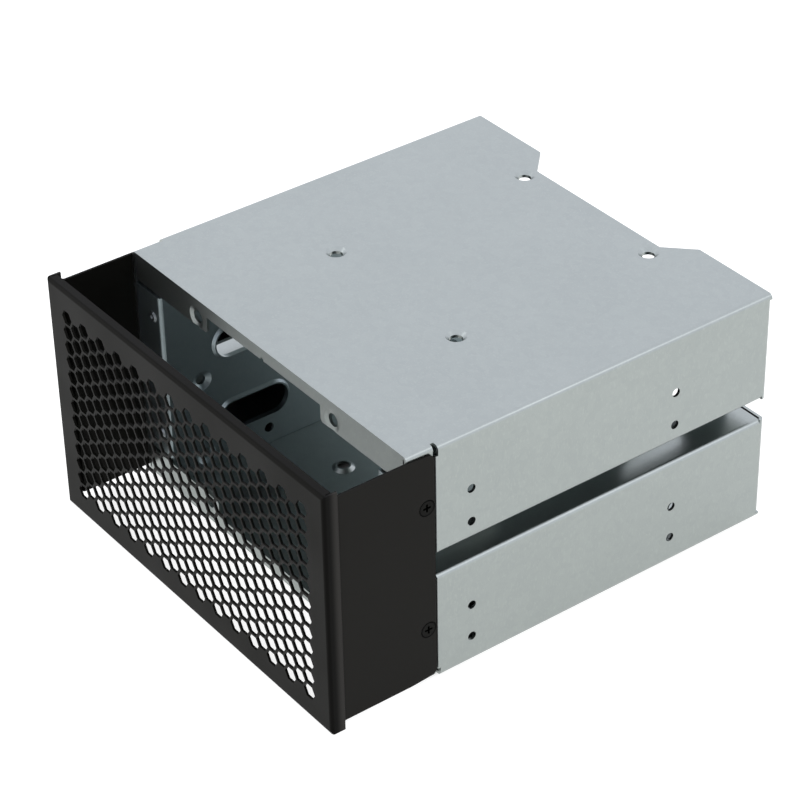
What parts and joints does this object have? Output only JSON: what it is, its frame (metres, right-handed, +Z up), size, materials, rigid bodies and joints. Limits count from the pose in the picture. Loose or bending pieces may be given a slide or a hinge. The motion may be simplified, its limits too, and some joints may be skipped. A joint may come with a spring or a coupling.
{
  "type": "hot swap drive cage",
  "caption": "Folded sheet-steel cage that holds stacked drive trays between two inner walls, behind a perforated black bezel with room for a fan.",
  "frame": {"origin": "middle of the whole object's footprint, at the height of the bezel's lower rim", "axes": "+X to the right seen from the bezel, +Y from the bezel to the open rear, +Z up"},
  "size_m": [0.148, 0.171, 0.087],
  "materials": {
    "bezel_black": "satin black powder coat on sheet steel",
    "zinc_steel": "galvanised sheet steel, faintly spangled",
    "screw_black": "black oxide on steel",
    "rivet_aluminium": "bright, lightly worn"
  },
  "bodies": {
    "root": {"front_bezel": "bezel_black", "upper_shell": "zinc_steel", "lower_shell": "zinc_steel", "right_drive_wall": "zinc_steel", "left_drive_wall": "zinc_steel", "bezel_screws_right": "screw_black", "bezel_screws_left": "screw_black", "front_rivets_right": "rivet_aluminium", "front_rivets_left": "rivet_aluminium", "rear_rivets_right": "rivet_aluminium", "rear_rivets_left": "rivet_aluminium"}
  },
  "joints": []
}
